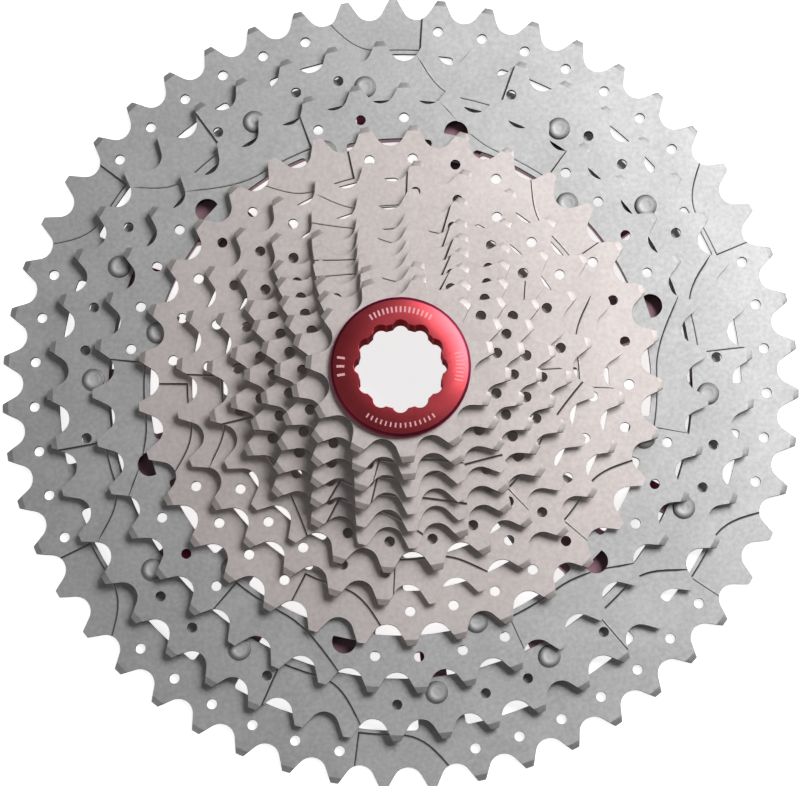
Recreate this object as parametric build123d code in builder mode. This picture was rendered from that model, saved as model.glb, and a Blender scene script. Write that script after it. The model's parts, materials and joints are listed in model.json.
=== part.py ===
"""Twelve-speed bicycle cassette, 11 to 51 teeth.

The axis of the hub is Z, with the lockring at the top. The origin lies on that axis, in the face of
the spider that rests on the shoulder of the freehub body. The largest cog overhangs that face.
"""

import os
from math import cos, pi, radians, sin

from build123d import *

# --- Chain and teeth -------------------------------------------------------------------------------
chain_pitch = 12.7
seat_radius = 3.9  # a roller rests in this arc
tooth_rise = 1.6  # tip circle above pitch circle
tip_bevel_width = 1.5
tip_bevel_depth = 0.35
ramp_depth = 0.8  # shift ramps are pressed this far into the outboard face
small_hole_diameter = 2.65

# --- Stack along the axis --------------------------------------------------------------------------
cog_spacing = 3.65
first_cog_middle = -3.5  # middle plane of the largest cog
alloy_thickness = 1.8
steel_thickness = 1.6

# --- Splined bore on the freehub body --------------------------------------------------------------
spline_major = 17.35
key_height = 1.0
spline_count = 9
key_angle = 20.0
narrow_key_angle = 12.0  # one narrow key sets each cog the right way round
bore_chamfer = 0.4

# --- Cogs: teeth, angle of one tooth, depth of the small holes below the pitch circle,
#     step edges of the ramps, teeth that each ramp spans, depth of the ramp below the root circle
COGS = {
    51: (6.4, 6.85, (23.0, 86.6, 143.0, 206.6, 263.0, 326.6), 2, 8.6),
    45: (5.4, 7.8, (6.5, 70.5, 126.5, 190.5, 246.5, 310.5), 2, 8.6),
    39: (6.2, 7.8, (54.8, 110.3, 174.8, 230.3, 294.8, 350.3), 3, 8.2),
    33: (10.6, 7.3, (35.5, 102.5, 180.0, 243.5, 319.5), 2, 7.6),
    28: (8.4, 6.7, (88.0, 178.0, 268.0, 358.0), 2, 6.6),
    24: (11.2, 6.45, (74.0, 194.0, 314.0), 3, 5.4),
    21: (0.1, 6.1, (3.0, 72.0, 243.0), 2, 4.2),
    19: (9.15, 5.9, (69.0, 240.0), 3, 4.0),
    17: (20.7, 5.6, (67.0, 257.0), 3, 4.0),
    15: (11.05, 5.5, (64.0, 256.0), 2, 3.8),
    13: (25.27, 0.0, (), 0, 0.0),
    11: (12.68, 0.0, (), 0, 0.0),
}


def pitch_radius(teeth):
    return chain_pitch / (2 * sin(pi / teeth))


def root_radius(teeth):
    return pitch_radius(teeth) - seat_radius


def tip_radius(teeth):
    return pitch_radius(teeth) + tooth_rise


def thickness_of(teeth):
    return alloy_thickness if teeth >= 39 else steel_thickness


def back_of(teeth):
    """Height of the inboard face of a cog."""
    return first_cog_middle + cog_spacing * list(COGS).index(teeth) - thickness_of(teeth) / 2


def front_of(teeth):
    return back_of(teeth) + thickness_of(teeth)


def polar(radius, angle):
    return radius * cos(radians(angle)), radius * sin(radians(angle))


# --- Rivets ----------------------------------------------------------------------------------------
shank_radius = 1.9
head_radius = 2.95
head_height = 0.55
dimple_radius = 1.5
dimple_depth = 0.25
rivet_clearance = 0.02
lug_radius = 4.4
outer_rivet_circle = root_radius(45) - 6.6
inner_rivet_circle = root_radius(39) - 10.0
carrier_rivet_circle = root_radius(24) - 5.2

# --- Spider of the three largest cogs --------------------------------------------------------------
arm_count = 6
arm_angle = 17.7
pad_angle = arm_angle + 180 / arm_count  # the rivet pads stand midway between the arms
arm_width = 14.5
hub_wall = 6.65
hub_radius = spline_major + hub_wall
hub_height = back_of(33) - 1.05
hoop_outer = root_radius(39) - 5.3
hoop_width = 3.9
hoop_inner = hoop_outer - hoop_width
prong_width = 6.4
prong_spread = 11.0  # a pair of prongs stands this many degrees either side of its pad
gusset_outer = hoop_inner - 18.8
web_fillet = 1.2
relief_radius = 4.6  # end of each arm around the pocket under the D-shaped hole
relief_wall = 1.0
arm_pocket_depth = 2.2
arm_pocket_wall = 3.5
arm_pocket_margin = 8.0

# --- Rings and windows of the riveted cogs ---------------------------------------------------------
window_corner = 1.0
band_51_inner = root_radius(51) - 9.5
ring_51_outer = outer_rivet_circle + 4.0
ring_51_inner = outer_rivet_circle - 4.3
window_51_count = 18
window_51_angle = 12.0
window_51_start = 7.0
ring_45_inner = outer_rivet_circle - 4.0
band_39_inner = root_radius(39) - 9.5
tab_39_inner = inner_rivet_circle - lug_radius
window_39_angle = 20.0
d_hole_circle = root_radius(39) - 6.4
d_hole_radius = 3.15
d_hole_flat = 0.9
band_33_inner = root_radius(33) - 8.6
band_28_inner = root_radius(28) - 6.8
carrier_ring_outer = carrier_rivet_circle + 4.0
carrier_ring_inner = carrier_rivet_circle - 4.0
carrier_window_angle = 34.0

# --- Carrier, spacers, washer and lockring ---------------------------------------------------------
carrier_hub_wall = 5.15
carrier_hub_radius = spline_major + carrier_hub_wall
carrier_arm_width = 11.0
carrier_fillet = 3.0
window_24_margin = 4.0
window_24_corner = 3.0
spacer_radius = spline_major + 3.65
collar_radius = spline_major + 0.85
washer_thickness = 0.6
flange_radius = spline_major + 0.45
washer_outer = flange_radius - 0.3
serration_count = 36
serration_width = 0.5
serration_depth = 0.15
flange_height = 2.25
flange_bevel = 0.7
spline_minor = spline_major - key_height
thread_radius = spline_minor - 1.35
thread_pitch = 1.0
thread_depth = 0.55
plain_lead = 1.0  # smooth end of the barrel
washer_inner = thread_radius + 0.4
barrel_length = 8.5
barrel_wall = 2.6
notch_count = 12
notch_depth = 1.05
notch_radius = 2.1
socket_radius = thread_radius - thread_depth - barrel_wall - notch_depth


def ring_sector(inner, outer, angle, corner=0.0):
    """Part of a flat ring, symmetric about +X."""
    half = angle / 2
    with BuildSketch(mode=Mode.PRIVATE) as sector:
        with BuildLine():
            ThreePointArc(polar(outer, -half), (outer, 0), polar(outer, half))
            Line(polar(outer, half), polar(inner, half))
            ThreePointArc(polar(inner, half), (inner, 0), polar(inner, -half))
            Line(polar(inner, -half), polar(outer, -half))
        make_face()
        if corner:
            fillet(sector.vertices(), radius=corner)
    return sector.sketch


def roller_valley(teeth):
    """Gap between two teeth, with the roller's centre at the origin and the rim towards +X."""
    seat_angle = 60 - 45 / teeth
    side_x, side_y = -seat_radius * cos(radians(seat_angle)), seat_radius * sin(radians(seat_angle))
    mouth_x = tooth_rise + 1
    mouth_y = side_y + (mouth_x - side_x) / sin(radians(seat_angle)) * cos(radians(seat_angle))
    with BuildSketch(mode=Mode.PRIVATE) as valley:
        with BuildLine():
            ThreePointArc((side_x, -side_y), (-seat_radius, 0), (side_x, side_y))
            Polyline((side_x, side_y), (mouth_x, mouth_y), (mouth_x, -mouth_y), (side_x, -side_y))
        make_face()
    return valley.sketch


def spline_bore():
    """Opening that slides over the freehub body, with nine keys left standing in it."""
    pitch = 360 / spline_count
    with BuildSketch(mode=Mode.PRIVATE) as bore:
        Circle(spline_major)
        with PolarLocations(0, spline_count - 1, start_angle=pitch, angular_range=360 - 2 * pitch,
                            endpoint=True):
            add(ring_sector(spline_minor, spline_major + 1, key_angle), mode=Mode.SUBTRACT)
        add(ring_sector(spline_minor, spline_major + 1, narrow_key_angle), mode=Mode.SUBTRACT)
    return bore.sketch


def ramp_outline(teeth, span, drop):
    """Shift ramp: a radial step edge along +X, a floor arc, and an S-curve back out to the tips."""
    outer = tip_radius(teeth) + 1
    floor = root_radius(teeth) - drop
    sweep = (span + 0.4) * 360 / teeth
    turn = 0.4 * sweep
    with BuildSketch(mode=Mode.PRIVATE) as ramp:
        with BuildLine():
            Line(polar(outer, 0), polar(floor, 0))
            ThreePointArc(polar(floor, 0), polar(floor, turn / 2), polar(floor, turn))
            Spline(polar(floor, turn), polar(outer, sweep),
                   tangents=(polar(1, turn + 90), polar(1, sweep + 45)))
            ThreePointArc(polar(outer, sweep), polar(outer, sweep / 2), polar(outer, 0))
        make_face()
    return ramp.sketch


def holed_teeth(teeth, rivet_angles=()):
    """Angles of the teeth that have a small hole: none on a ramp, none beside a rivet head."""
    phase, _, edges, span, _ = COGS[teeth]
    step = 360 / teeth
    beside = 3.5
    angles = [(phase + step * index) % 360 for index in range(teeth)]
    on_ramp = [any(0 < (angle - edge) % 360 < span * step + 1 for edge in edges) for angle in angles]
    by_rivet = [
        any(abs((angle - rivet + 180) % 360 - 180) < beside for rivet in rivet_angles) for angle in angles
    ]
    return [a for a, ramp, rivet in zip(angles, on_ramp, by_rivet) if not ramp and not rivet]


def toothed_disc(teeth, rivet_angles=()):
    """Blank of one cog: teeth, tip bevels, shift ramps and the small holes under the teeth."""
    phase, hole_inset, edges, span, drop = COGS[teeth]
    back, front, tip = back_of(teeth), front_of(teeth), tip_radius(teeth)
    with BuildPart(mode=Mode.PRIVATE) as disc:
        with BuildSketch(Plane.XY.offset(back)):
            Circle(tip)
            with PolarLocations(pitch_radius(teeth), teeth, start_angle=phase + 180 / teeth):
                add(roller_valley(teeth), mode=Mode.SUBTRACT)
            if hole_inset:
                for angle in holed_teeth(teeth, rivet_angles):
                    with Locations(polar(pitch_radius(teeth) - hole_inset, angle)):
                        Circle(small_hole_diameter / 2, mode=Mode.SUBTRACT)
        extrude(amount=front - back)
        slope = tip_bevel_depth / tip_bevel_width
        with BuildSketch(Plane.XZ):
            for face, side in ((front, 1), (back, -1)):
                with BuildLine():
                    start = (tip - tip_bevel_width, face)
                    Polyline(start, (tip + 1, face), (tip + 1, face - side * slope * (tip_bevel_width + 1)),
                             close=True)
                make_face()
        revolve(axis=Axis.Z, mode=Mode.SUBTRACT)
        if edges:
            with BuildSketch(Plane.XY.offset(front)):
                for edge in edges:
                    with Locations(Rotation(0, 0, edge)):
                        add(ramp_outline(teeth, span, drop))
            extrude(amount=-ramp_depth, mode=Mode.SUBTRACT)
    return disc.part


def rivet(bottom, top, head_below=False):
    """One rivet with a dimpled head on the face at top, and a second head under bottom if asked."""
    outline = [
        (shank_radius, bottom),
        (shank_radius, top),
        (head_radius, top),
        (head_radius, top + 0.6 * head_height),
        (head_radius - 0.4 * head_height, top + head_height),
        (dimple_radius, top + head_height),
        (0, top + head_height - dimple_depth),
    ]
    if head_below:
        low = bottom - head_height
        outline = [(0, low), (head_radius, low), (head_radius, bottom)] + outline
    else:
        outline = [(0, bottom)] + outline
    with BuildPart(mode=Mode.PRIVATE) as one:
        with BuildSketch(Plane.XZ):
            with BuildLine():
                Polyline(*outline, close=True)
            make_face()
        revolve(axis=Axis.Z)
    return one.part


def lead_in(face, side):
    """Cutter for the chamfer on the keys at one end of a bore; side is +1 where the piece lies above."""
    with BuildPart(mode=Mode.PRIVATE) as cone:
        with BuildSketch(Plane.XZ):
            with BuildLine():
                Polyline((spline_minor - 1, face), (spline_minor + bore_chamfer, face),
                         (spline_minor - 1, face + side * (bore_chamfer + 1)), close=True)
            make_face()
        revolve(axis=Axis.Z)
    return cone.part


pad_angles = [pad_angle + 360 / arm_count * index for index in range(arm_count)]
arm_angles = [arm_angle + 360 / arm_count * index for index in range(arm_count)]
outer_rivet_angles = [pad + side * prong_spread for pad in pad_angles for side in (-1, 1)]
outer_rivet_places = [polar(outer_rivet_circle, angle) for angle in outer_rivet_angles]
inner_rivet_places = [polar(inner_rivet_circle, angle) for angle in pad_angles]
carrier_rivet_places = [polar(carrier_rivet_circle, angle) for angle in arm_angles]
rivet_hole = shank_radius + rivet_clearance

# --- Spider ----------------------------------------------------------------------------------------
spider_back = front_of(51)
lug_front = back_of(45)
seat_39 = back_of(39)

with BuildPart() as spider:
    with BuildSketch(Plane.XY.offset(spider_back)) as web:
        Circle(hoop_outer)
        Circle(hoop_inner, mode=Mode.SUBTRACT)
        Circle(hub_radius)
        with PolarLocations(hoop_inner / 2, arm_count, start_angle=arm_angle):
            Rectangle(hoop_inner + 1, arm_width)
        with Locations(*inner_rivet_places):
            Circle(lug_radius)
        inside = [v for v in web.vertices() if hub_radius - 2 < Vector(v.X, v.Y).length < hoop_inner + 1]
        fillet(inside, radius=web_fillet)
        with PolarLocations(0, arm_count, start_angle=arm_angle):
            with Locations((d_hole_circle, 0)):
                Circle(relief_radius)
        for angle in outer_rivet_angles:
            with Locations(Rotation(0, 0, angle)):
                with Locations(((hoop_outer + outer_rivet_circle) / 2 - 1, 0)):
                    Rectangle(outer_rivet_circle - hoop_outer + 2, prong_width)
        with Locations(*outer_rivet_places):
            Circle(lug_radius)
    extrude(amount=hub_height - spider_back)
    with BuildSketch(Plane.XZ):
        with BuildLine():
            Polyline(
                (hub_radius + 4, hub_height), (gusset_outer, seat_39), (hoop_outer, seat_39),
                (ring_45_inner - 1.5, lug_front), (ring_51_outer + 5, lug_front),
                (ring_51_outer + 5, hub_height + 1), (hub_radius + 4, hub_height + 1), close=True,
            )
        make_face()
        with BuildLine():
            Polyline((0, 0), (hub_radius - 2, 0), (hub_radius + 3, spider_back),
                     (hub_radius + 3, spider_back - 1), (0, spider_back - 1), close=True)
        make_face()
    revolve(axis=Axis.Z, mode=Mode.SUBTRACT)
    with BuildSketch(Plane.XY.offset(spider_back)):
        add(spline_bore())
        with Locations(*outer_rivet_places, *inner_rivet_places):
            Circle(rivet_hole)
    extrude(amount=hub_height - spider_back, mode=Mode.SUBTRACT)
    with BuildSketch(Plane.XY.offset(seat_39)):
        with Locations(*[polar(d_hole_circle, angle) for angle in arm_angles]):
            Circle(relief_radius - relief_wall)
    extrude(amount=lug_front - seat_39, mode=Mode.SUBTRACT)
    with BuildSketch(Plane.XY.offset(spider_back)):
        with PolarLocations((hub_radius + hoop_inner) / 2 + 2, arm_count, start_angle=arm_angle):
            SlotOverall(hoop_inner - hub_radius - 2 * arm_pocket_margin, arm_width - 2 * arm_pocket_wall)
    extrude(amount=arm_pocket_depth, mode=Mode.SUBTRACT)
    add(lead_in(hub_height, -1), mode=Mode.SUBTRACT)
spider.part.label = "spider"
pieces = [spider]

# --- The three cogs on the spider ------------------------------------------------------------------
with BuildPart() as cog_51:
    add(toothed_disc(51))
    with BuildSketch(Plane.XY.offset(back_of(51))):
        Circle(ring_51_inner)
        with PolarLocations(0, window_51_count, start_angle=window_51_start):
            add(ring_sector(ring_51_outer, band_51_inner, window_51_angle, window_corner))
        with Locations(*outer_rivet_places):
            Circle(rivet_hole)
    extrude(amount=alloy_thickness, mode=Mode.SUBTRACT)
cog_51.part.label = "cog_51"
pieces.append(cog_51)

with BuildPart() as cog_45:
    add(toothed_disc(45, outer_rivet_angles))
    with BuildSketch(Plane.XY.offset(back_of(45))):
        Circle(ring_45_inner)
        with Locations(*outer_rivet_places):
            Circle(rivet_hole)
    extrude(amount=alloy_thickness, mode=Mode.SUBTRACT)
cog_45.part.label = "cog_45"
pieces.append(cog_45)

with BuildSketch(mode=Mode.PRIVATE) as d_hole:
    Circle(d_hole_radius)
    with Locations((-d_hole_flat - d_hole_radius, 0)):
        Rectangle(2 * d_hole_radius, 3 * d_hole_radius, mode=Mode.SUBTRACT)

with BuildPart() as cog_39:
    add(toothed_disc(39))
    with BuildSketch(Plane.XY.offset(back_of(39))):
        Circle(tab_39_inner)
        with PolarLocations(0, 2 * arm_count, start_angle=(arm_angle + pad_angle) / 2):
            add(ring_sector(tab_39_inner - 3, band_39_inner, window_39_angle, window_corner))
        with PolarLocations(d_hole_circle, arm_count, start_angle=arm_angle):
            add(d_hole.sketch)
        with Locations(*inner_rivet_places):
            Circle(rivet_hole)
    extrude(amount=alloy_thickness, mode=Mode.SUBTRACT)
cog_39.part.label = "cog_39"
pieces.append(cog_39)

with BuildPart() as outer_rivets:
    with Locations(*outer_rivet_places):
        add(rivet(back_of(51), front_of(45)))
outer_rivets.part.label = "outer_rivets"
pieces.append(outer_rivets)

with BuildPart() as inner_rivets:
    with Locations(*inner_rivet_places):
        add(rivet(spider_back, front_of(39), head_below=True))
inner_rivets.part.label = "inner_rivets"
pieces.append(inner_rivets)

# --- Carrier of the 33- and 28-tooth cogs ----------------------------------------------------------
with BuildPart() as carrier:
    with BuildSketch(Plane.XY.offset(front_of(33))) as carrier_web:
        Circle(carrier_hub_radius)
        with PolarLocations(carrier_rivet_circle / 2, arm_count, start_angle=arm_angle):
            Rectangle(carrier_rivet_circle, carrier_arm_width)
        fillet([v for v in carrier_web.vertices() if Vector(v.X, v.Y).length < carrier_hub_radius + 1],
               radius=carrier_fillet)
        with Locations(*carrier_rivet_places):
            Circle(carrier_arm_width / 2)
    extrude(amount=back_of(28) - front_of(33))
    with BuildSketch(Plane.XY.offset(hub_height)):
        Circle(carrier_hub_radius)
    extrude(amount=back_of(24) - hub_height)
    with BuildSketch(Plane.XY.offset(hub_height)):
        add(spline_bore())
        with Locations(*carrier_rivet_places):
            Circle(rivet_hole)
    extrude(amount=back_of(24) - hub_height, mode=Mode.SUBTRACT)
    add(lead_in(hub_height, 1), mode=Mode.SUBTRACT)
carrier.part.label = "carrier"
pieces.append(carrier)

for teeth, band_inner in ((33, band_33_inner), (28, band_28_inner)):
    with BuildPart() as riveted_cog:
        add(toothed_disc(teeth))
        with BuildSketch(Plane.XY.offset(back_of(teeth))):
            Circle(carrier_ring_inner)
            with PolarLocations(0, arm_count, start_angle=pad_angle):
                add(ring_sector(carrier_ring_outer, band_inner, carrier_window_angle, window_corner))
            with Locations(*carrier_rivet_places):
                Circle(rivet_hole)
        extrude(amount=steel_thickness, mode=Mode.SUBTRACT)
    riveted_cog.part.label = f"cog_{teeth}"
    pieces.append(riveted_cog)

with BuildPart() as carrier_rivets:
    with Locations(*carrier_rivet_places):
        add(rivet(back_of(33), front_of(28), head_below=True))
carrier_rivets.part.label = "carrier_rivets"
pieces.append(carrier_rivets)

# --- Loose cogs and the spacers between them -------------------------------------------------------
for teeth in (24, 21, 19, 17, 15, 13, 11):
    with BuildPart() as loose_cog:
        add(toothed_disc(teeth))
        if teeth == 11:
            with BuildSketch(Plane.XY.offset(front_of(13))):
                Circle(collar_radius)
            extrude(amount=back_of(11) - front_of(13))
        lowest = front_of(13) if teeth == 11 else back_of(teeth)
        with BuildSketch(Plane.XY.offset(lowest)):
            add(spline_bore())
            if teeth == 24:
                with PolarLocations(0, arm_count, start_angle=pad_angle):
                    add(ring_sector(carrier_hub_radius + window_24_margin, carrier_ring_inner,
                                    carrier_window_angle, window_24_corner))
        extrude(amount=front_of(teeth) - lowest, mode=Mode.SUBTRACT)
    loose_cog.part.label = f"cog_{teeth}"
    pieces.append(loose_cog)

for inboard, outboard in ((24, 21), (21, 19), (19, 17), (17, 15), (15, 13)):
    with BuildPart() as spacer:
        with BuildSketch(Plane.XY.offset(front_of(inboard))):
            Circle(spacer_radius)
            add(spline_bore(), mode=Mode.SUBTRACT)
        extrude(amount=back_of(outboard) - front_of(inboard))
    spacer.part.label = f"spacer_{inboard}_{outboard}"
    pieces.append(spacer)

# --- Lock washer and lockring ----------------------------------------------------------------------
washer_back = front_of(11)
flange_back = washer_back + washer_thickness
flange_front = flange_back + flange_height

with BuildPart() as lock_washer:
    with BuildSketch(Plane.XY.offset(washer_back)):
        Circle(washer_outer)
        Circle(washer_inner, mode=Mode.SUBTRACT)
    extrude(amount=washer_thickness)
    with BuildSketch(Plane.XY.offset(flange_back)):
        with PolarLocations(washer_outer, serration_count):
            Rectangle(3 * (washer_outer - washer_inner), serration_width)
    extrude(amount=-serration_depth, mode=Mode.SUBTRACT)
lock_washer.part.label = "lock_washer"
pieces.append(lock_washer)

barrel_end = flange_back - barrel_length
with BuildPart() as lockring:
    with BuildSketch(Plane.XZ):
        with BuildLine():
            Polyline(
                (0, barrel_end), (thread_radius - thread_depth, barrel_end),
                (thread_radius, barrel_end + thread_depth), (thread_radius, flange_back),
                (flange_radius, flange_back), (flange_radius, flange_front - flange_bevel),
                (flange_radius - flange_bevel, flange_front), (0, flange_front), close=True,
            )
        make_face()
    revolve(axis=Axis.Z)
    groove_count = int((barrel_length - 2 * plain_lead) / thread_pitch)
    with BuildSketch(Plane.XZ):
        for index in range(groove_count):
            middle = barrel_end + plain_lead + (index + 0.5) * thread_pitch
            half = 0.45 * thread_pitch
            mouth = thread_radius + 0.1
            with BuildLine():
                Polyline((thread_radius - thread_depth, middle), (mouth, middle + half),
                         (mouth, middle - half), close=True)
            make_face()
    revolve(axis=Axis.Z, mode=Mode.SUBTRACT)
    with BuildSketch(Plane.XY.offset(barrel_end)):
        Circle(socket_radius)
        with PolarLocations(socket_radius + notch_depth - notch_radius, notch_count):
            Circle(notch_radius)
    extrude(amount=flange_front - barrel_end, mode=Mode.SUBTRACT)
lockring.part.label = "lockring"
pieces.append(lockring)

os.makedirs("parts", exist_ok=True)
for piece in pieces:
    export_step(piece.part, f"parts/{piece.part.label}.step")
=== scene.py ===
# %% [markdown]
# # A twelve-speed cassette, finished in Blender
# A cassette is the stack of cogs on the rear wheel of a bicycle. The construction model already holds
# every piece at its real size, so this lesson loads it as a fixed frame and gives each piece the edges
# and the metal finish that it has when it leaves the factory. Nothing is moved or resized.

import json
from math import atan2, cos, degrees, pi, radians, sin

import bmesh
import bpy
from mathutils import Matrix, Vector


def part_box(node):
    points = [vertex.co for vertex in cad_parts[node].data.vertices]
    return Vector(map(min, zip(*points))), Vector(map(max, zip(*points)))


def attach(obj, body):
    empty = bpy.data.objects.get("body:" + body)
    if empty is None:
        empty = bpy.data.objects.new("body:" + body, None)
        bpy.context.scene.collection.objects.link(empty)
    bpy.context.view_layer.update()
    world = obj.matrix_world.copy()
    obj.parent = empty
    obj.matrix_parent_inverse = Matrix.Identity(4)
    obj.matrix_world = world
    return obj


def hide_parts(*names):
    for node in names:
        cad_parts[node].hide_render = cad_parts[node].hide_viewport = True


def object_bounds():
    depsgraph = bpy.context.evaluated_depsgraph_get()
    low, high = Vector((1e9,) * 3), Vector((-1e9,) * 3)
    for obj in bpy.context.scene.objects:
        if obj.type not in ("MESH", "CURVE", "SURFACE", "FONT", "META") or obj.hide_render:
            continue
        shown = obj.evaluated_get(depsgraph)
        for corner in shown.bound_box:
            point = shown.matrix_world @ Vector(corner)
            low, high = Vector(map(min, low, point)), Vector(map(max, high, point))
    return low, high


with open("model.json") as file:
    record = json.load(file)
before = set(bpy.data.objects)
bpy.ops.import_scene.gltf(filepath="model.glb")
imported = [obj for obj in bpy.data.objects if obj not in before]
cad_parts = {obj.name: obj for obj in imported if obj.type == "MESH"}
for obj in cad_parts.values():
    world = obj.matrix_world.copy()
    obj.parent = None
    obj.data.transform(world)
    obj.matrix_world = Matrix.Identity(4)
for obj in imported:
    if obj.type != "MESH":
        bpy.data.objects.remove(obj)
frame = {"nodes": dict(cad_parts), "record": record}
cad_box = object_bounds()
MM = 0.001
bodies = frame["record"]["behaviour"]["bodies"]
body_of_node = {node: body for body, nodes in bodies.items() for node in nodes}

# %% [markdown]
# ## Small helpers
# A material is a tree of nodes. These helpers keep each finish short: one makes the tree with its shader,
# one adds a node with its settings, and one adds a noise pattern that is read from the piece's own
# coordinates in metres, so that the grain has its real size on every piece.

# %% Node helpers
def new_finish(name, **sockets):
    """A material with a Principled shader whose plain sockets are set by name."""
    material = bpy.data.materials.new(name)
    material.use_nodes = True
    shader = material.node_tree.nodes["Principled BSDF"]
    for socket, value in sockets.items():
        shader.inputs[socket.replace("_", " ")].default_value = value
    return material, shader


def add_node(material, kind, **values):
    """A node with its inputs set by name, or its own properties where it has no such input."""
    node = material.node_tree.nodes.new(kind)
    for name, value in values.items():
        label = name.replace("_", " ")
        if label in node.inputs:
            node.inputs[label].default_value = value
        else:
            setattr(node, name.lower(), value)
    return node


def connect(material, source, target):
    material.node_tree.links.new(source, target)


def noise_in_metres(material, scale, detail):
    """Noise with the given number of grains per metre, and its factor as the output."""
    place = add_node(material, "ShaderNodeTexCoord")
    noise = add_node(material, "ShaderNodeTexNoise", Scale=scale, Detail=detail)
    connect(material, place.outputs["Object"], noise.inputs["Vector"])
    return noise.outputs["Fac"]


NOISE_RANGE = (0.3, 0.7)  # nearly all of a noise factor lies between these
TONE_RANGE = (0.35, 0.65)  # below and above these a surface has one flat tone


def spread(material, factor, low, high):
    """Maps the middle of a noise factor onto a range of numbers."""
    node = add_node(material, "ShaderNodeMapRange", From_Min=NOISE_RANGE[0], From_Max=NOISE_RANGE[1],
                    To_Min=low, To_Max=high)
    connect(material, factor, node.inputs["Value"])
    return node.outputs["Result"]


def two_tone(material, factor, dark, light):
    """Colour that drifts between two tones with a noise factor."""
    ramp = add_node(material, "ShaderNodeValToRGB")
    for stop, position, tone in zip(ramp.color_ramp.elements, TONE_RANGE, (dark, light)):
        stop.position = position
        stop.color = (*tone, 1)
    connect(material, factor, ramp.inputs["Fac"])
    return ramp.outputs["Color"]


def grain(material, shader, factor, height):
    """Bump of a real height in metres."""
    bump = add_node(material, "ShaderNodeBump", Distance=height)
    connect(material, factor, bump.inputs["Height"])
    connect(material, bump.outputs["Normal"], shader.inputs["Normal"])


def grey(tone):
    """A neutral colour."""
    return (tone, tone, tone)


print("a middle grey is", grey(0.5))

# %% [markdown]
# ## Bead-blasted alloy
# The three largest cogs are cut from aluminium and blasted with fine beads. Up close the surface is a field
# of tiny craters, which scatters the light into one broad soft sheen, so the finish is a metal with a middle
# roughness, a fine bump, and a slow drift in tone where the blasting was uneven. The walls between the teeth
# take a rougher and much darker copy of it, and that darkness is painted shade for the dark lines along them.
# The bevels take a darker copy too, painted shade that outlines each tooth, and the slopes at the tips of the
# teeth, which are turned on a lathe, take a dimmer copy, painted shade that damps the lamp's bright
# reflection on them.

# %% Alloy finishes
DRIFT_SCALE = 60.0  # patches per metre of the slow drift
MOTTLE_SCALE = 900.0  # patches per metre of the grain of the blasting
MOTTLE = 0.6  # share of the tone that comes from that grain, not from the slow drift
# Painted shade: SHADED damps a wall's reflection where it is seen almost edge on, so the walls stay dark.
SHADED = 0.1  # how bright a wall still is where it is seen almost edge on


def mixed_noise(material, slow, quick, share):
    """The given share of a quick noise and the rest of a slow one."""
    rest = add_node(material, "ShaderNodeMath", Operation="MULTIPLY")
    rest.inputs[1].default_value = 1.0 - share
    mixed = add_node(material, "ShaderNodeMath", Operation="MULTIPLY_ADD")
    mixed.inputs[1].default_value = share
    connect(material, slow, rest.inputs[0])
    connect(material, quick, mixed.inputs[0])
    connect(material, rest.outputs[0], mixed.inputs[2])
    return mixed.outputs[0]


def metal_finish(name, dark, light, roughness, grain_height, grains=5200.0, edge_tint=1.0):
    """A mottled metal. edge_tint is how bright it still is where it is seen almost edge on."""
    material, shader = new_finish(name, Metallic=1.0, Specular_Tint=(*grey(edge_tint), 1))
    drift = noise_in_metres(material, DRIFT_SCALE, detail=4.0)
    mottle = noise_in_metres(material, MOTTLE_SCALE, detail=4.0)
    fine = noise_in_metres(material, grains, detail=2.0)
    tone = mixed_noise(material, drift, mottle, MOTTLE)
    connect(material, two_tone(material, tone, dark, light), shader.inputs["Base Color"])
    connect(material, spread(material, fine, *roughness), shader.inputs["Roughness"])
    grain(material, shader, fine, grain_height)
    return material


blasted_alloy = metal_finish("blasted_alloy", grey(0.41), grey(0.53), (0.42, 0.52), 2.4e-5)
# The bevels take a darker copy of the face: painted shade that outlines each tooth.
alloy_bevel_painted_shade = metal_finish("alloy_bevel_painted_shade", grey(0.26), grey(0.32), (0.30, 0.38), 4e-6)
# The walls take a much darker copy of the face: painted shade for the dark lines along them.
alloy_wall_painted_shade = metal_finish("alloy_wall_painted_shade", grey(0.09), grey(0.12), (0.56, 0.66), 1.2e-5, edge_tint=SHADED)
# The tip slopes are turned on a lathe; their dimmer copy of the face is painted shade that damps the lamp's
# reflection.
tip_slope_alloy_painted_shade = metal_finish("tip_slope_alloy_painted_shade", grey(0.34), grey(0.42), (0.50, 0.60), 1.6e-5)
print("finishes after the alloy", len(bpy.data.materials))

# %% [markdown]
# ## Nickel-plated steel
# The smaller cogs are pressed from steel and plated with satin nickel, which is a little warmer than the
# alloy. The same recipe serves, with a warmer pair of tones and a lower grain, and with the same darker
# copies for the bevels, the walls and the tip slopes, which are painted shade. The rivets are plain steel
# with no plating, so they are neutral and duller. A ring of painted shade darkens the steep shoulder of each
# head, which an attribute of their mesh marks out.

# %% Steel finishes
nickel_steel = metal_finish("nickel_steel", (0.54, 0.488, 0.476), (0.65, 0.593, 0.580), (0.42, 0.52),
                            2.0e-5)
# The steel's bevels take a darker copy of its face: painted shade that outlines each tooth.
steel_bevel_painted_shade = metal_finish("steel_bevel_painted_shade", (0.30, 0.275, 0.265), (0.36, 0.33, 0.32), (0.30, 0.38), 4e-6)
# The steel's walls take a much darker copy of its face: painted shade for the dark lines along them.
steel_wall_painted_shade = metal_finish("steel_wall_painted_shade", (0.09, 0.08, 0.077), (0.12, 0.108, 0.104), (0.54, 0.64), 1.0e-5,
                          edge_tint=SHADED)
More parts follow.
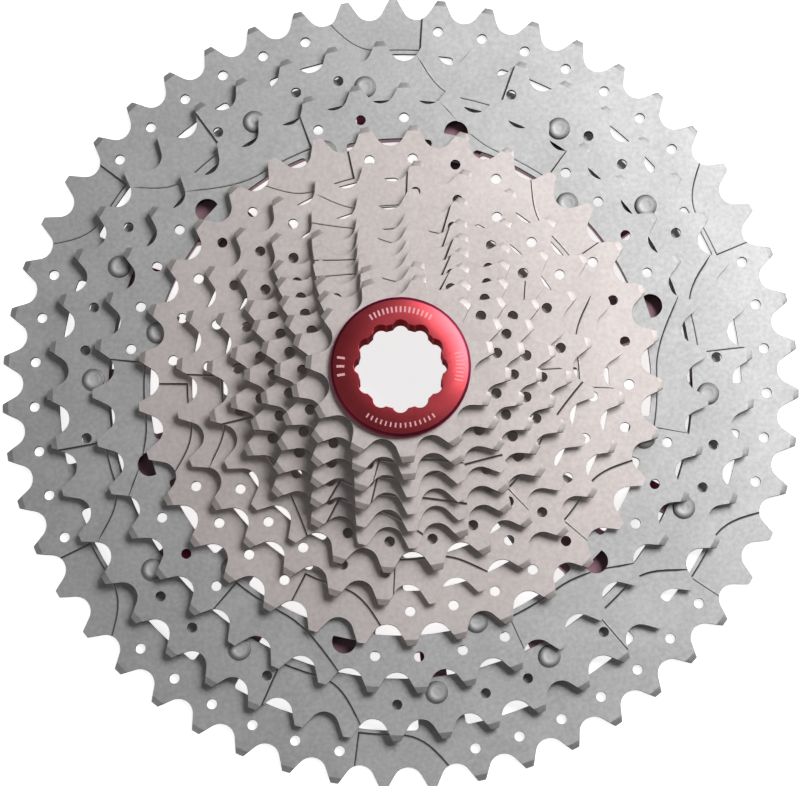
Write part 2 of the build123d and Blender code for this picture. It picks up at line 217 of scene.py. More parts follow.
# The steel's tip slopes take a dimmer copy of its face: painted shade that damps the lamp's reflection.
tip_slope_steel_painted_shade = metal_finish("tip_slope_steel_painted_shade", (0.44, 0.398, 0.388), (0.52, 0.474, 0.464), (0.50, 0.60),
                            1.4e-5)
rivet_steel = metal_finish("rivet_steel", grey(0.46), grey(0.56), (0.50, 0.60), 1.2e-5, grains=2600.0)
SHOULDER_SHADE_SHARE = 0.42  # how much of its brightness a rivet head keeps in its ring of painted shade


def darkened_by(material, attribute, share):
    """Darkens a finish by an attribute of the mesh: 0 leaves it, 1 keeps only the given share."""
    shader = material.node_tree.nodes["Principled BSDF"]
    tone = shader.inputs["Base Color"].links[0].from_socket
    mark = add_node(material, "ShaderNodeAttribute", Attribute_Name=attribute)
    keep = add_node(material, "ShaderNodeMapRange", To_Min=1.0, To_Max=share)
    darker = add_node(material, "ShaderNodeVectorMath", Operation="SCALE")
    connect(material, mark.outputs["Fac"], keep.inputs["Value"])
    connect(material, tone, darker.inputs[0])
    connect(material, keep.outputs["Result"], darker.inputs["Scale"])
    connect(material, darker.outputs[0], shader.inputs["Base Color"])


# Painted shade: the steep shoulder of each rivet head is darkened into a ring.
darkened_by(rivet_steel, "shoulder_shade", SHOULDER_SHADE_SHARE)
print("finishes after the steel", len(bpy.data.materials))

# %% [markdown]
# ## Anodised colours
# Anodising leaves a clear glassy skin over dyed metal. The dye tints the metal's own reflection, and the skin
# adds a thin white gloss of its own, which the shader's coat gives. Steep walls and edges would turn white
# where they are seen edge on, so a red tint there damps that white, as painted shade that keeps them deep.
# The lockring's bevels, walls and rim slopes are darker copies of its red, painted shade that draws a dark
# line round the rim. The spider's red is painted deeper as the shade of the cogs, and its front faces are a
# paler mauve, painted light. The bevels of the spacers and the carrier are lighter copies of their colour,
# painted highlights.

# %% Anodised finishes
DYE_SCALE = 90.0  # patches per metre in the dye
SKIN_SCALE = 6500.0  # grains per metre in the skin
SKIN_HEIGHT = 6e-6
THIN_COAT = 0.1
# RED_TINT damps the white that the red walls and bevels would show edge on: painted shade.
RED_TINT = (0.35, 0.06, 0.10)


def anodised_finish(name, dark, light, roughness, coat=THIN_COAT, edge_tint=grey(1.0)):
    """Dyed metal under a clear skin. edge_tint colours it where it is seen almost edge on."""
    material, shader = new_finish(name, Metallic=1.0, Coat_Weight=coat, Coat_Roughness=0.3,
                                  Specular_Tint=(*edge_tint, 1))
    drift = noise_in_metres(material, DYE_SCALE, detail=4.0)
    fine = noise_in_metres(material, SKIN_SCALE, detail=2.0)
    connect(material, two_tone(material, drift, dark, light), shader.inputs["Base Color"])
    connect(material, spread(material, fine, *roughness), shader.inputs["Roughness"])
    grain(material, shader, fine, SKIN_HEIGHT)
    return material


red_anodised = anodised_finish("red_anodised", (0.54, 0.045, 0.06), (0.64, 0.065, 0.085), (0.27, 0.35),
                               coat=0.5)
# The lockring's bevels take a darker copy of its red: painted shade along the rim.
red_bevel_painted_shade = anodised_finish("red_bevel_painted_shade", (0.36, 0.02, 0.04), (0.44, 0.03, 0.05), (0.34, 0.42),
                           edge_tint=RED_TINT)
# The lockring's walls take a much darker copy of its red: painted shade for the dark line round the rim.
red_wall_painted_shade = anodised_finish("red_wall_painted_shade", (0.24, 0.012, 0.035), (0.30, 0.02, 0.045), (0.40, 0.50),
                                coat=0.0, edge_tint=RED_TINT)
# A deep red, painted darker as shade: the spider's walls and back, and the lockring's rim slopes.
deep_red_painted_shade = anodised_finish("deep_red_painted_shade", (0.10, 0.010, 0.030), (0.13, 0.014, 0.040),
                                    (0.40, 0.50))
# A paler mauve, painted light: it stands for the light on the floors of the spider's pockets.
mauve_painted_light = anodised_finish("mauve_painted_light", (0.34, 0.19, 0.235), (0.42, 0.25, 0.30), (0.45, 0.55))
deep_red_edge = anodised_finish("deep_red_edge", (0.16, 0.02, 0.05), (0.19, 0.025, 0.06), (0.3, 0.4))
black_anodised = anodised_finish("black_anodised", (0.030, 0.030, 0.034), (0.05, 0.05, 0.055),
                                 (0.36, 0.48))
# A lighter copy of the black for the bevels: painted highlight along the edges.
black_bevel_painted_highlight = anodised_finish("black_bevel_painted_highlight", (0.12, 0.12, 0.13), (0.16, 0.16, 0.17), (0.3, 0.4))
grey_anodised = anodised_finish("grey_anodised", (0.30, 0.30, 0.31), (0.36, 0.36, 0.37), (0.36, 0.46))
# A lighter copy of the grey for the bevels: painted highlight along the edges.
grey_bevel_painted_highlight = anodised_finish("grey_bevel_painted_highlight", (0.5, 0.5, 0.51), (0.56, 0.56, 0.57), (0.3, 0.38))
burnt_mark, _ = new_finish("burnt_mark", Base_Color=(0.80, 0.42, 0.46, 1), Metallic=0.2, Roughness=0.6)
print("finishes in all", len(bpy.data.materials))

# %% [markdown]
# ## Broken edges
# No machined edge is perfectly sharp: the tool or the tumbler breaks it, and that thin bevel catches the
# light all round each tooth. The frame's meshes may not be changed, so each piece is a welded copy of its
# node. Flat areas are merged back into large faces, and a Bevel modifier then breaks every sharp edge. The
# merging is done in sectors, because a face that closes into a ring can be filled in across its hole. The
# flat faces, the new bevels and the steep walls each take their own finish.

# %% Copies with broken edges
EDGE_ANGLE = radians(28)
SMOOTH_ANGLE = radians(24)
SAME_PLANE = radians(0.05)
WELD = 0.002 * MM
FACE, BEVEL, WALL = 0, 1, 2  # the places of the finishes in a piece's list
WALL_SLOPE = 0.2  # a face whose normal leans less than this towards Z is a wall
FLAT_SLOPE = 0.9999  # a face whose normal leans more than this towards Z is shaded flat
SECTORS = 24  # flat areas are merged inside sectors, so that no face closes into a ring


def merge_flat_areas(shape):
    """Merges the triangles that share a plane, one sector of the piece at a time."""
    for face in shape.faces:
        middle = face.calc_center_median()
        face.material_index = int((atan2(middle.y, middle.x) / (2 * pi) + 0.5) * SECTORS)
    bmesh.ops.dissolve_limit(shape, angle_limit=SAME_PLANE, verts=shape.verts, edges=shape.edges,
                             delimit={"MATERIAL"})
    for face in shape.faces:
        face.material_index = FACE


def bevelled(piece, width, segments):
    """The piece's mesh with every sharp edge broken."""
    bevel = piece.modifiers.new("broken_edges", "BEVEL")
    bevel.width = width
    bevel.segments = segments
    bevel.limit_method = "ANGLE"
    bevel.angle_limit = EDGE_ANGLE
    bevel.material = BEVEL
    depsgraph = bpy.context.evaluated_depsgraph_get()
    mesh = bpy.data.meshes.new_from_object(piece.evaluated_get(depsgraph))
    piece.modifiers.clear()
    return mesh


def broken_edges(node, width, finishes, segments=2, reshape=None, wall_slope=WALL_SLOPE):
    """A welded copy of a node with bevelled edges, riding on the node's body in its place.
    finishes are for its flat faces, its bevels, its walls, and the slopes between flat and wall, which
    take the wall's if there is none. reshape may change the copy first."""
    mesh = frame["nodes"][node].data.copy()
    mesh.materials.clear()
    for finish in finishes:
        mesh.materials.append(finish)
    shape = bmesh.new()
    shape.from_mesh(mesh)
    bmesh.ops.remove_doubles(shape, verts=shape.verts, dist=WELD)
    merge_flat_areas(shape)
    if reshape:
        reshape(shape)
    shape.to_mesh(mesh)
    shape.free()
    piece = bpy.data.objects.new(node + "_finished", mesh)
    bpy.context.scene.collection.objects.link(piece)
    piece.data = bevelled(piece, width, segments)
    piece.data.set_sharp_from_angle(angle=SMOOTH_ANGLE)  # this also makes every face smooth
    for face in piece.data.polygons:
        lean = abs(face.normal.z)
        face.use_smooth = lean < FLAT_SLOPE
        if face.material_index == FACE and lean < FLAT_SLOPE:
            face.material_index = WALL if lean < wall_slope else len(finishes) - 1
    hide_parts(node)
    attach(piece, body_of_node[node])
    print(piece.name, len(piece.data.polygons), "faces")
    return piece


# %% [markdown]
# ## Cogs
# Each cog keeps the exact outline of its node, because a chain has to fit it. The alloy cogs have a slightly
# wider broken edge than the steel ones, since soft metal is tumbled for longer. A ramp is pressed into the
# face by a rounded tool, so the corner at the foot of its step is a fillet. The fillet takes the walls'
# finish, so it is painted dark, as shade along the foot of each step.
# It could be sculpted by hand, but a bevel of just those inside corners gives the same curve everywhere.

# %% Finished cogs
ALLOY_COGS = (51, 45, 39)
ALLOY_EDGE = 0.28
STEEL_COGS = (33, 28, 24, 21, 19, 17, 15, 13, 11)
STEEL_EDGE = 0.24
RAMP_FILLET = 0.6
RAMP_CORNER = radians(60)
RAMP_FLOOR_SLOPE = 0.99
COG_WALL_SLOPE = 0.9


def round_ramp_corners(shape):
    """Puts a fillet at the foot of each ramp's step: a level inside corner between a floor and a wall."""
    shape.normal_update()
    corners = []
    for edge in shape.edges:
        if len(edge.link_faces) == 2 and not edge.is_convex and edge.calc_face_angle(0.0) > RAMP_CORNER:
            leans = [face.normal.z for face in edge.link_faces]
            if max(leans) > RAMP_FLOOR_SLOPE and abs(min(leans)) < WALL_SLOPE:
                corners.append(edge)
    bmesh.ops.bevel(shape, geom=corners, offset=RAMP_FILLET * MM, offset_type="OFFSET", segments=4,
                    profile=0.5, affect="EDGES", clamp_overlap=False)


# The walls, the ramps' fillets, the bevels and the tip slopes take darker copies of the face: painted shade.
for teeth in ALLOY_COGS:
    cog = broken_edges(f"cog_{teeth}", ALLOY_EDGE * MM, (blasted_alloy, alloy_bevel_painted_shade, alloy_wall_painted_shade, tip_slope_alloy_painted_shade),
                       reshape=round_ramp_corners, wall_slope=COG_WALL_SLOPE)
for teeth in STEEL_COGS:
    cog = broken_edges(f"cog_{teeth}", STEEL_EDGE * MM, (nickel_steel, steel_bevel_painted_shade, steel_wall_painted_shade, tip_slope_steel_painted_shade),
                       reshape=round_ramp_corners, wall_slope=COG_WALL_SLOPE)

# %% [markdown]
# ## Spider, carrier, spacers and washer
# The spider and the carrier are forged and then milled. Both sit in the shade of the cogs, and the spider's
# red is painted deeper than the lockring's as that shade. Its front faces are painted paler, a mauve that
# stands for light on the floors of its pockets; its back isn't, so the back keeps the deep red of the walls.
# The spacers are plain turned rings, and the washer is stamped, with an edge that is only just broken.

# %% Finished inner pieces
FORGED_EDGE = 0.3
SPACER_EDGE = 0.2
STAMPED_EDGE = 0.05
spider = broken_edges("spider", FORGED_EDGE * MM, (mauve_painted_light, deep_red_edge, deep_red_painted_shade))
# The spider's back faces take the deep red of its walls, which is painted shade.
for face in spider.data.polygons:
    if face.material_index == FACE and face.normal.z < 0:
        face.material_index = WALL
# The carrier's bevels are a lighter copy of its black: painted highlight.
carrier = broken_edges("carrier", FORGED_EDGE * MM, (black_anodised, black_bevel_painted_highlight, black_anodised))
# The spacers' bevels are a lighter copy of their grey: painted highlight.
for node in sorted(frame["nodes"]):
    if node.startswith("spacer_"):
        spacer = broken_edges(node, SPACER_EDGE * MM, (grey_anodised, grey_bevel_painted_highlight, grey_anodised))
# The washer's bevel and walls take the steel's darker copies, which are painted shade.
washer = broken_edges("lock_washer", STAMPED_EDGE * MM, (rivet_steel, steel_bevel_painted_shade, steel_wall_painted_shade), segments=1)

# %% [markdown]
# ## Copies in a ring
# Rivets and tick marks all repeat round the hub axis, so one small Geometry Nodes tree places them all.
# Its named inputs say how many copies there are, how many stand together in a cluster, the angles between
# clusters and between their members, and the radius and height of the ring. The tree is set before it is
# first evaluated, and its result is made into a plain mesh.

# %% Tree helpers
def new_tree(name, inputs):
    """A tree with named inputs, and its geometry as the output."""
    tree = bpy.data.node_groups.new(name, "GeometryNodeTree")
    for label, kind in inputs:
        tree.interface.new_socket(label, in_out="INPUT", socket_type="NodeSocket" + kind)
    tree.interface.new_socket("Geometry", in_out="OUTPUT", socket_type="NodeSocketGeometry")
    return tree


def tree_node(tree, kind, **settings):
    node = tree.nodes.new(kind)
    for name, value in settings.items():
        setattr(node, name, value)
    return node


def maths(tree, operation, *terms):
    """A maths node whose inputs are linked or set, and its output."""
    node = tree_node(tree, "ShaderNodeMath", operation=operation)
    for socket, term in zip(node.inputs, terms):
        if isinstance(term, (int, float)):
            socket.default_value = term
        else:
            tree.links.new(term, socket)
    return node.outputs[0]


def finish_tree(tree, geometry, finish):
    """Ends a tree: real geometry, one finish, and the output."""
    real = tree_node(tree, "GeometryNodeRealizeInstances")
    paint = tree_node(tree, "GeometryNodeSetMaterial")
    result = tree_node(tree, "NodeGroupOutput")
    tree.links.new(geometry, real.inputs[0])
    tree.links.new(real.outputs[0], paint.inputs["Geometry"])
    tree.links.new(finish, paint.inputs["Material"])
    tree.links.new(paint.outputs[0], result.inputs[0])


def grown(name, tree, body, slot, **inputs):
    """Evaluates a tree with named inputs and keeps the result as a plain mesh that rides on a body."""
    thing = bpy.data.objects.new(name, bpy.data.meshes.new(name))
    bpy.context.scene.collection.objects.link(thing)
    modifier = thing.modifiers.new("tree", "NODES")
    modifier.node_group = tree
    for socket in tree.interface.items_tree:
        if socket.in_out == "INPUT":
            modifier[socket.identifier] = inputs[socket.name]
    depsgraph = bpy.context.evaluated_depsgraph_get()
    thing.data = bpy.data.meshes.new_from_object(thing.evaluated_get(depsgraph))
    thing.modifiers.clear()
    thing.data.set_sharp_from_angle(angle=SMOOTH_ANGLE)
    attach(thing, body)
    print(name, len(thing.data.vertices), "vertices")
    return thing


print("made pieces are smooth up to", round(degrees(SMOOTH_ANGLE)), "degrees")

# %% The tree that places copies
def ring_tree():
    """Sets copies of a piece round the axis: clusters a step apart, and their members a spacing apart."""
    tree = new_tree("copies_in_a_ring", (
        ("Count", "Int"), ("Cluster", "Int"), ("Start", "Float"), ("Step", "Float"), ("Spacing", "Float"),
        ("Radius", "Float"), ("Height", "Float"), ("Piece", "Object"), ("Finish", "Material")))
    given = tree_node(tree, "NodeGroupInput").outputs
    index = tree_node(tree, "GeometryNodeInputIndex").outputs[0]
    cluster = maths(tree, "FLOOR", maths(tree, "DIVIDE", maths(tree, "ADD", index, 0.5), given["Cluster"]))
    member = maths(tree, "SUBTRACT", index, maths(tree, "MULTIPLY", cluster, given["Cluster"]))
    middle = maths(tree, "MULTIPLY", maths(tree, "SUBTRACT", given["Cluster"], 1.0), 0.5)
    angle = maths(tree, "MULTIPLY_ADD", cluster, given["Step"], given["Start"])
    angle = maths(tree, "MULTIPLY_ADD", maths(tree, "SUBTRACT", member, middle), given["Spacing"], angle)
    place = tree_node(tree, "ShaderNodeCombineXYZ")
    tree.links.new(maths(tree, "MULTIPLY", given["Radius"], maths(tree, "COSINE", angle)), place.inputs[0])
    tree.links.new(maths(tree, "MULTIPLY", given["Radius"], maths(tree, "SINE", angle)), place.inputs[1])
    tree.links.new(given["Height"], place.inputs[2])
    turn = tree_node(tree, "ShaderNodeCombineXYZ")
    tree.links.new(angle, turn.inputs[2])
    points = tree_node(tree, "GeometryNodePoints")
    tree.links.new(given["Count"], points.inputs["Count"])
    tree.links.new(place.outputs[0], points.inputs["Position"])
    piece = tree_node(tree, "GeometryNodeObjectInfo")
    tree.links.new(given["Piece"], piece.inputs["Object"])
    copies = tree_node(tree, "GeometryNodeInstanceOnPoints")
    tree.links.new(points.outputs[0], copies.inputs["Points"])
    tree.links.new(piece.outputs["Geometry"], copies.inputs["Instance"])
    tree.links.new(turn.outputs[0], copies.inputs["Rotation"])
    finish_tree(tree, copies.outputs[0], given["Finish"])
    return tree


RING = ring_tree()
print("ring tree", len(RING.nodes), "nodes")

# %% [markdown]
# ## Rivets
# A rivet is a turned pin whose head is spun over by a rolling tool. The tool leaves a rounded shoulder
# and a shallow dimple. The outline of half a rivet is turned about its axis to make one pin, and the
# tree sets twelve of them in pairs on the spider's prongs, six on its pads, and six on the carrier.

# %% One rivet
LATHE_STEPS = 40
SHOULDER_SHADE_FROM = 2.25  # outside this radius the head's steep shoulder is darkened as painted shade


def lathe(name, outline):
    """A closed solid from an outline of (radius, height) points that starts and ends on the axis."""
    shape = bmesh.new()
    rows = []
    for radius, height in outline:
        if radius == 0:
            rows.append([shape.verts.new((0, 0, height))] * LATHE_STEPS)
        else:
            angles = [2 * pi * k / LATHE_STEPS for k in range(LATHE_STEPS)]
            rows.append([shape.verts.new((radius * cos(a), radius * sin(a), height)) for a in angles])
    for low, high in zip(rows, rows[1:]):
        for k in range(LATHE_STEPS):
            after = (k + 1) % LATHE_STEPS
            ring = [low[k], low[after], high[after], high[k]]
            corners = [point for i, point in enumerate(ring) if point not in ring[:i]]
            if len(corners) > 2:
                shape.faces.new(corners)
    mesh = bpy.data.meshes.new(name)
    shape.to_mesh(mesh)
    shape.free()
    shoulder_shade = mesh.attributes.new("shoulder_shade", "FLOAT", "POINT")
    for point, mark in zip(mesh.vertices, shoulder_shade.data):
        mark.value = float(Vector(point.co.xy).length / MM > SHOULDER_SHADE_FROM)
    return bpy.data.objects.new(name, mesh)


SHANK = 1.9
HEAD = ((2.95, 0.0), (2.94, 0.20), (2.89, 0.35), (2.78, 0.46), (2.62, 0.52), (2.42, 0.55), (1.50, 0.55),
        (1.36, 0.54), (1.18, 0.52), (0.95, 0.505), (0.50, 0.50), (0.0, 0.50))
HEAD_HEIGHT = 0.55
FOOT = ((0.0, 0.0), (2.65, 0.0), (2.85, 0.12), (2.95, 0.32), (2.95, HEAD_HEIGHT), (SHANK, HEAD_HEIGHT))


def rivet_pin(name, node, head_below):
    """One rivet between the heights that its node shows, standing on the axis."""
    low, high = (corner.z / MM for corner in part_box(node))
    top = high - HEAD_HEIGHT
    foot = FOOT if head_below else ((0.0, 0.0), (SHANK, 0.0))
    outline = [(r, low + h) for r, h in foot] + [(SHANK, top)] + [(r, top + h) for r, h in HEAD]
    return lathe(name, [(r * MM, h * MM) for r, h in outline])


# %% Rivets in their rings
ARM_STEP = 60.0
PAD_ANGLE = 47.7  # the spider's rivet pads, which lie half a step after its arms
RIVETS = {
    "outer_rivets": dict(body="large_cluster", head_below=False, count=12, cluster=2, start=PAD_ANGLE,
                         spacing=22.0, radius=80.54),
    "inner_rivets": dict(body="large_cluster", head_below=True, count=6, cluster=1, start=PAD_ANGLE,
                         spacing=0.0, radius=65.01),
    "carrier_rivets": dict(body="middle_cluster", head_below=True, count=6, cluster=1,
                           start=PAD_ANGLE - ARM_STEP / 2, spacing=0.0, radius=39.55),
}
for node, ring in RIVETS.items():
    pin = rivet_pin(node + "_pin", node, ring["head_below"])
    rivets = grown(node + "_finished", RING, ring["body"], "rivet_steel", Count=ring["count"],
                   Cluster=ring["cluster"], Start=radians(ring["start"]), Step=radians(ARM_STEP),
                   Spacing=radians(ring["spacing"]), Radius=ring["radius"] * MM, Height=0.0,
                   Piece=pin, Finish=rivet_steel)
    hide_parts(node)
    bpy.data.objects.remove(pin)
    low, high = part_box(node)
    node_width, made_width = (round(width / MM, 2) for width in (high.x - low.x, rivets.dimensions.x))
    print(node, "is", made_width, "mm wide, and its node", node_width)

# %% [markdown]
# ## Lockring
# The lockring is turned from bar, threaded, and anodised red. The node carries plain grooves where the
# thread is, so the copy's barrel is first turned down to the thread's root, ready for a real thread. The
# face of the flange is crowned by a fraction of a millimetre. Its faces are few and long, which would
# show as a star in the gloss, so the corners get the normals that a turned crown really has.

# %% Lockring body
THREAD_ROOT = 14.45
THREAD_CREST = 15.0
THREAD_PITCH = 1.0
BARREL_BAND = (THREAD_ROOT - 0.1, THREAD_CREST + 0.5)  # the barrel's grooves lie between these radii
UNDER_FLANGE = 38.05
SOCKET_RADIUS = 10.8
RIM_RADIUS = 17.1
FLANGE_SLOPE = 0.08  # mean slope of the flange's face, which is turned slightly crowned
RIM_SLOPE = 0.19  # slope of the crown at the rim; it is level at the socket
FACE_SLOPE = 0.97  # a face of the flange's front leans more than this towards Z, and its bevel less
FACE_DEPTH = 1.0  # the front lies within this of the highest point
TURNED_EDGE = 0.15
CLOSE = 0.01  # a point this near to a face counts as on it
FLANGE_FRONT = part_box("lockring")[1].z


def turn_down(shape):
    """Moves the barrel's outside onto the root of the thread, and lowers the flange's face to its rim."""
    for point in shape.verts:
        radius = Vector(point.co.xy).length
        below_flange = point.co.z < (UNDER_FLANGE + CLOSE) * MM
        if below_flange and BARREL_BAND[0] * MM < radius < BARREL_BAND[1] * MM:
            point.co.xy *= THREAD_ROOT * MM / radius
        if point.co.z > FLANGE_FRONT - CLOSE * MM:
            point.co.z -= FLANGE_SLOPE * (radius - SOCKET_RADIUS * MM)
    bmesh.ops.remove_doubles(shape, verts=shape.verts, dist=WELD)


def turned_normals(mesh):
    """Shades the flange's face as the smooth crown that a lathe leaves, whatever its faces are."""
    normals = [corner.vector.copy() for corner in mesh.corner_normals]
    for face in mesh.polygons:
        if face.normal.z > FACE_SLOPE and face.center.z > FLANGE_FRONT - FACE_DEPTH * MM:
            face.material_index = FACE
            for loop in face.loop_indices:
                place = mesh.vertices[mesh.loops[loop].vertex_index].co.xy
                share = (place.length / MM - SOCKET_RADIUS) / (RIM_RADIUS - SOCKET_RADIUS)
                outward = place.normalized() * RIM_SLOPE * share
                normals[loop] = Vector((outward.x, outward.y, 1.0)).normalized()
    mesh.normals_split_custom_set(normals)


# The bevels, walls and rim slopes take darker copies of the red: painted shade for the dark rim line.
lockring = broken_edges("lockring", TURNED_EDGE * MM,
                        (red_anodised, red_bevel_painted_shade, red_wall_painted_shade, deep_red_painted_shade), reshape=turn_down)
turned_normals(lockring.data)

# %% [markdown]
# ## Thread
# A thread is one ridge that climbs round the barrel. It could be cut away from the barrel, but a spiral
# with a small four-sided section swept along it needs far fewer faces. The section shrinks to almost
# nothing at both ends, where a real cutter runs in and out. Blender's spiral climbs the left-hand way, so
# it is reversed: this lockring tightens clockwise.

# %% Thread
THREAD_TURNS = 6.5
LEAD_IN = 1.0
SPIRAL_STEPS = 72
SECTION_CORNERS = 4
END_SCALE = 0.05
FADE_RATE = 14.0  # the section has its full size after a fourteenth of the thread's length


def thread_tree():
    """A right-hand ridge of a given radius, pitch and depth that fades at both ends."""
    tree = new_tree("thread_ridge", (("Turns", "Float"), ("Pitch", "Float"), ("Radius", "Float"),
                                     ("Depth", "Float"), ("Start Height", "Float"), ("Finish", "Material")))
    given = tree_node(tree, "NodeGroupInput").outputs
    spiral = tree_node(tree, "GeometryNodeCurveSpiral")
    spiral.inputs["Resolution"].default_value = SPIRAL_STEPS
    tree.links.new(given["Turns"], spiral.inputs["Rotations"])
    tree.links.new(given["Radius"], spiral.inputs["Start Radius"])
    tree.links.new(given["Radius"], spiral.inputs["End Radius"])
    tree.links.new(maths(tree, "MULTIPLY", given["Turns"], given["Pitch"]), spiral.inputs["Height"])
    spiral.inputs["Reverse"].default_value = True
    upright = tree_node(tree, "GeometryNodeSetCurveNormal", mode="Z_UP")
    tree.links.new(spiral.outputs[0], upright.inputs["Curve"])
    along = tree_node(tree, "GeometryNodeSplineParameter").outputs["Factor"]
    from_end = maths(tree, "MINIMUM", along, maths(tree, "SUBTRACT", 1.0, along))
    fade = maths(tree, "MINIMUM", maths(tree, "MULTIPLY_ADD", from_end, FADE_RATE, END_SCALE), 1.0)
    section = tree_node(tree, "GeometryNodeCurvePrimitiveCircle")
    section.inputs["Resolution"].default_value = SECTION_CORNERS
    tree.links.new(given["Depth"], section.inputs["Radius"])
    sweep = tree_node(tree, "GeometryNodeCurveToMesh")
    sweep.inputs["Fill Caps"].default_value = True
    tree.links.new(upright.outputs[0], sweep.inputs["Curve"])
    tree.links.new(fade, sweep.inputs["Scale"])
    tree.links.new(section.outputs[0], sweep.inputs["Profile Curve"])
    lift = tree_node(tree, "ShaderNodeCombineXYZ")
    tree.links.new(given["Start Height"], lift.inputs[2])
    placed = tree_node(tree, "GeometryNodeTransform")
    tree.links.new(sweep.outputs[0], placed.inputs["Geometry"])
    tree.links.new(lift.outputs[0], placed.inputs["Translation"])
    finish_tree(tree, placed.outputs[0], given["Finish"])
    return tree


barrel_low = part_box("lockring")[0].z
grown("lockring_thread", thread_tree(), "lockring_body", "red_anodised", Turns=THREAD_TURNS,
      Pitch=THREAD_PITCH * MM, Radius=THREAD_ROOT * MM, Depth=(THREAD_CREST - THREAD_ROOT) * MM,
      **{"Start Height": barrel_low + LEAD_IN * MM}, Finish=red_anodised)

# %% [markdown]
# ## Marks on the lockring
# The flange carries light marks, as a laser leaves them when it burns the dye away. They are kept plain:
# rows of short ticks at the top, the bottom, the left and the right, set by the same ring tree.

# %% Tick marks
TICK_THICKNESS = 0.08


def tick(name, length, width):
    """A flat bar that points away from the axis and slopes as the flange does, to be half sunk in it."""
    bpy.ops.mesh.primitive_cube_add(size=1.0)
    bar = bpy.context.object
    bar.name = name
    for point in bar.data.vertices:
        along = point.co.x * length
        height = point.co.z * TICK_THICKNESS - along * FLANGE_SLOPE
        point.co = Vector((along, point.co.y * width, height)) * MM
    return bar


TICKS = (  # name, number, middle angle, spacing, radius, length, width
    ("top_ticks", 15, 90.0, 4.4, 14.6, 1.5, 0.46),
    ("bottom_ticks", 15, 270.0, 4.8, 15.0, 1.2, 0.40),
    ("left_ticks", 3, 180.0, 8.2, 15.2, 2.0, 0.62),
    ("right_ticks", 8, 0.0, 3.8, 15.1, 2.2, 0.30),
)
for name, number, middle, spacing, radius, length, width in TICKS:
    bar = tick(name + "_bar", length, width)
    face = FLANGE_FRONT - (radius - SOCKET_RADIUS) * FLANGE_SLOPE * MM
    grown(name, RING, "lockring_body", "red_anodised", Count=number, Cluster=number,
          Start=radians(middle), Step=0.0, Spacing=radians(spacing), Radius=radius * MM,
          Height=face, Piece=bar, Finish=burnt_mark)
    bpy.data.objects.remove(bar)

# %% [markdown]
# ## Floor
# The cassette lies on a plain white floor. A little glow in the floor keeps it white where it is seen
# through the small holes, as paper lit from behind would be.

# %% Floor
FLOOR_SIZE = 3.0
FLOOR_GAP = 0.05  # keeps the floor from flickering through the lowest faces
floor_height = cad_box[0][2] - FLOOR_GAP * MM
bpy.ops.mesh.primitive_plane_add(size=FLOOR_SIZE, location=(0, 0, floor_height))
floor = bpy.context.object
floor.name = "floor"
floor_paint, _ = new_finish("floor_paint", Base_Color=(*grey(0.9), 1), Roughness=0.9,
                            Emission_Color=(1, 1, 1, 1), Emission_Strength=0.8)
floor.data.materials.append(floor_paint)
print("floor at", round(floor_height / MM, 2), "mm")

# %% [markdown]
# ## Light
# One soft lamp stands about a metre off, up and to the right, leaning at 34 degrees, so the flat faces are
# brightest at the upper right and fall away evenly towards the lower left, and every cog throws a short
# shadow on the one below. A weak lamp on the other side lifts the faces in those shadows.

# %% Lights
LAMP_TARGET = Vector((0, 0, 10 * MM))


def soft_lamp(name, turn, lean, distance, size, power):
    """A round lamp that looks at the middle of the stack, turned about Z and leaning from the vertical."""
    data = bpy.data.lights.new(name, "AREA")
    data.shape = "DISK"
    data.size = size
    data.energy = power
    lamp = bpy.data.objects.new(name, data)
    bpy.context.scene.collection.objects.link(lamp)
    away = Vector((sin(lean) * cos(turn), sin(lean) * sin(turn), cos(lean)))
    lamp.location = LAMP_TARGET + distance * away
    lamp.rotation_euler = away.to_track_quat("Z", "Y").to_euler()
    print(name, "lamp at", [round(part, 2) for part in lamp.location])


soft_lamp("key", turn=radians(38), lean=radians(34), distance=1.2, size=0.65, power=10.8)
soft_lamp("fill", turn=radians(225), lean=radians(42), distance=1.3, size=0.9, power=1.0)

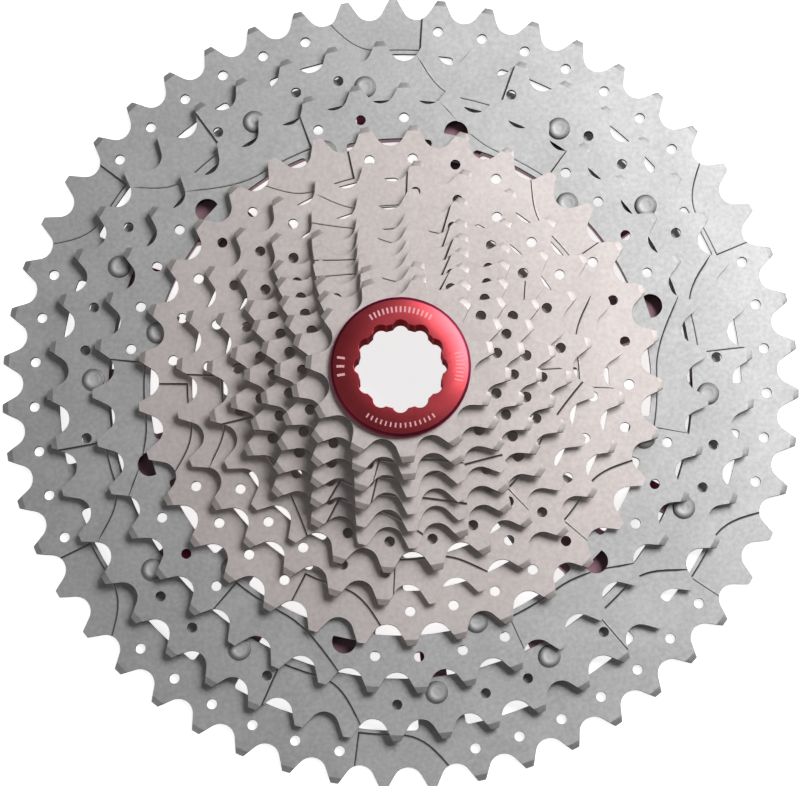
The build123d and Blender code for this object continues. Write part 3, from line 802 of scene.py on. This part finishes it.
# %% [markdown]
# ## Studio
# The studio has pale walls and a dim ceiling. Metal seen from the side mirrors the walls, which keeps it
# from going black, while metal seen from above mirrors the ceiling and is lit by the lamps alone. A world
# of one grey could do only one of the two, so its strength falls with height above the horizon.

# %% Studio
WALL_GLOW = 1.4
WALL_HEIGHT = 0.05  # the sine of the height at which the walls begin to darken
CEILING_GLOW = 0.08
CEILING_HEIGHT = 0.6
studio = bpy.data.worlds.new("studio")
studio.use_nodes = True
sky = studio.node_tree
direction = sky.nodes.new("ShaderNodeTexCoord")
parts = sky.nodes.new("ShaderNodeSeparateXYZ")
glow = sky.nodes.new("ShaderNodeMapRange")
glow.interpolation_type = "SMOOTHSTEP"
glow.inputs["From Min"].default_value = WALL_HEIGHT
glow.inputs["From Max"].default_value = CEILING_HEIGHT
glow.inputs["To Min"].default_value = WALL_GLOW
glow.inputs["To Max"].default_value = CEILING_GLOW
sky.links.new(direction.outputs["Generated"], parts.inputs[0])
sky.links.new(parts.outputs["Z"], glow.inputs["Value"])
sky.links.new(glow.outputs["Result"], sky.nodes["Background"].inputs["Strength"])
sky.nodes["Background"].inputs["Color"].default_value = (1, 1, 1, 1)
bpy.context.scene.world = studio
bpy.context.scene.view_settings.view_transform = "Standard"
print("studio glow from", WALL_GLOW, "at the walls to", CEILING_GLOW, "overhead")

# %% [markdown]
# ## Camera
# The camera stands about a metre above the lockring and leans a few degrees towards the viewer, with a
# long lens, so the far side of the stack is only a little smaller than the near side.

# %% Camera
ELEVATION = radians(82.5)
CAMERA_DISTANCE = 1.059
AIM = Vector((-0.15, -1.06, -3.6)) * MM
SENSOR_WIDTH = 36.0
FOCAL_LENGTH = 181.1
NEAREST = 0.01
camera_data = bpy.data.cameras.new("camera")
camera_data.sensor_width = SENSOR_WIDTH
camera_data.lens = FOCAL_LENGTH
camera_data.clip_start = NEAREST
camera = bpy.data.objects.new("camera", camera_data)
bpy.context.scene.collection.objects.link(camera)
toward_camera = Vector((0, -cos(ELEVATION), sin(ELEVATION)))
camera.location = AIM + CAMERA_DISTANCE * toward_camera
camera.rotation_euler = (pi / 2 - ELEVATION, 0, 0)
bpy.context.scene.camera = camera
print("camera at", [round(part, 3) for part in camera.location])
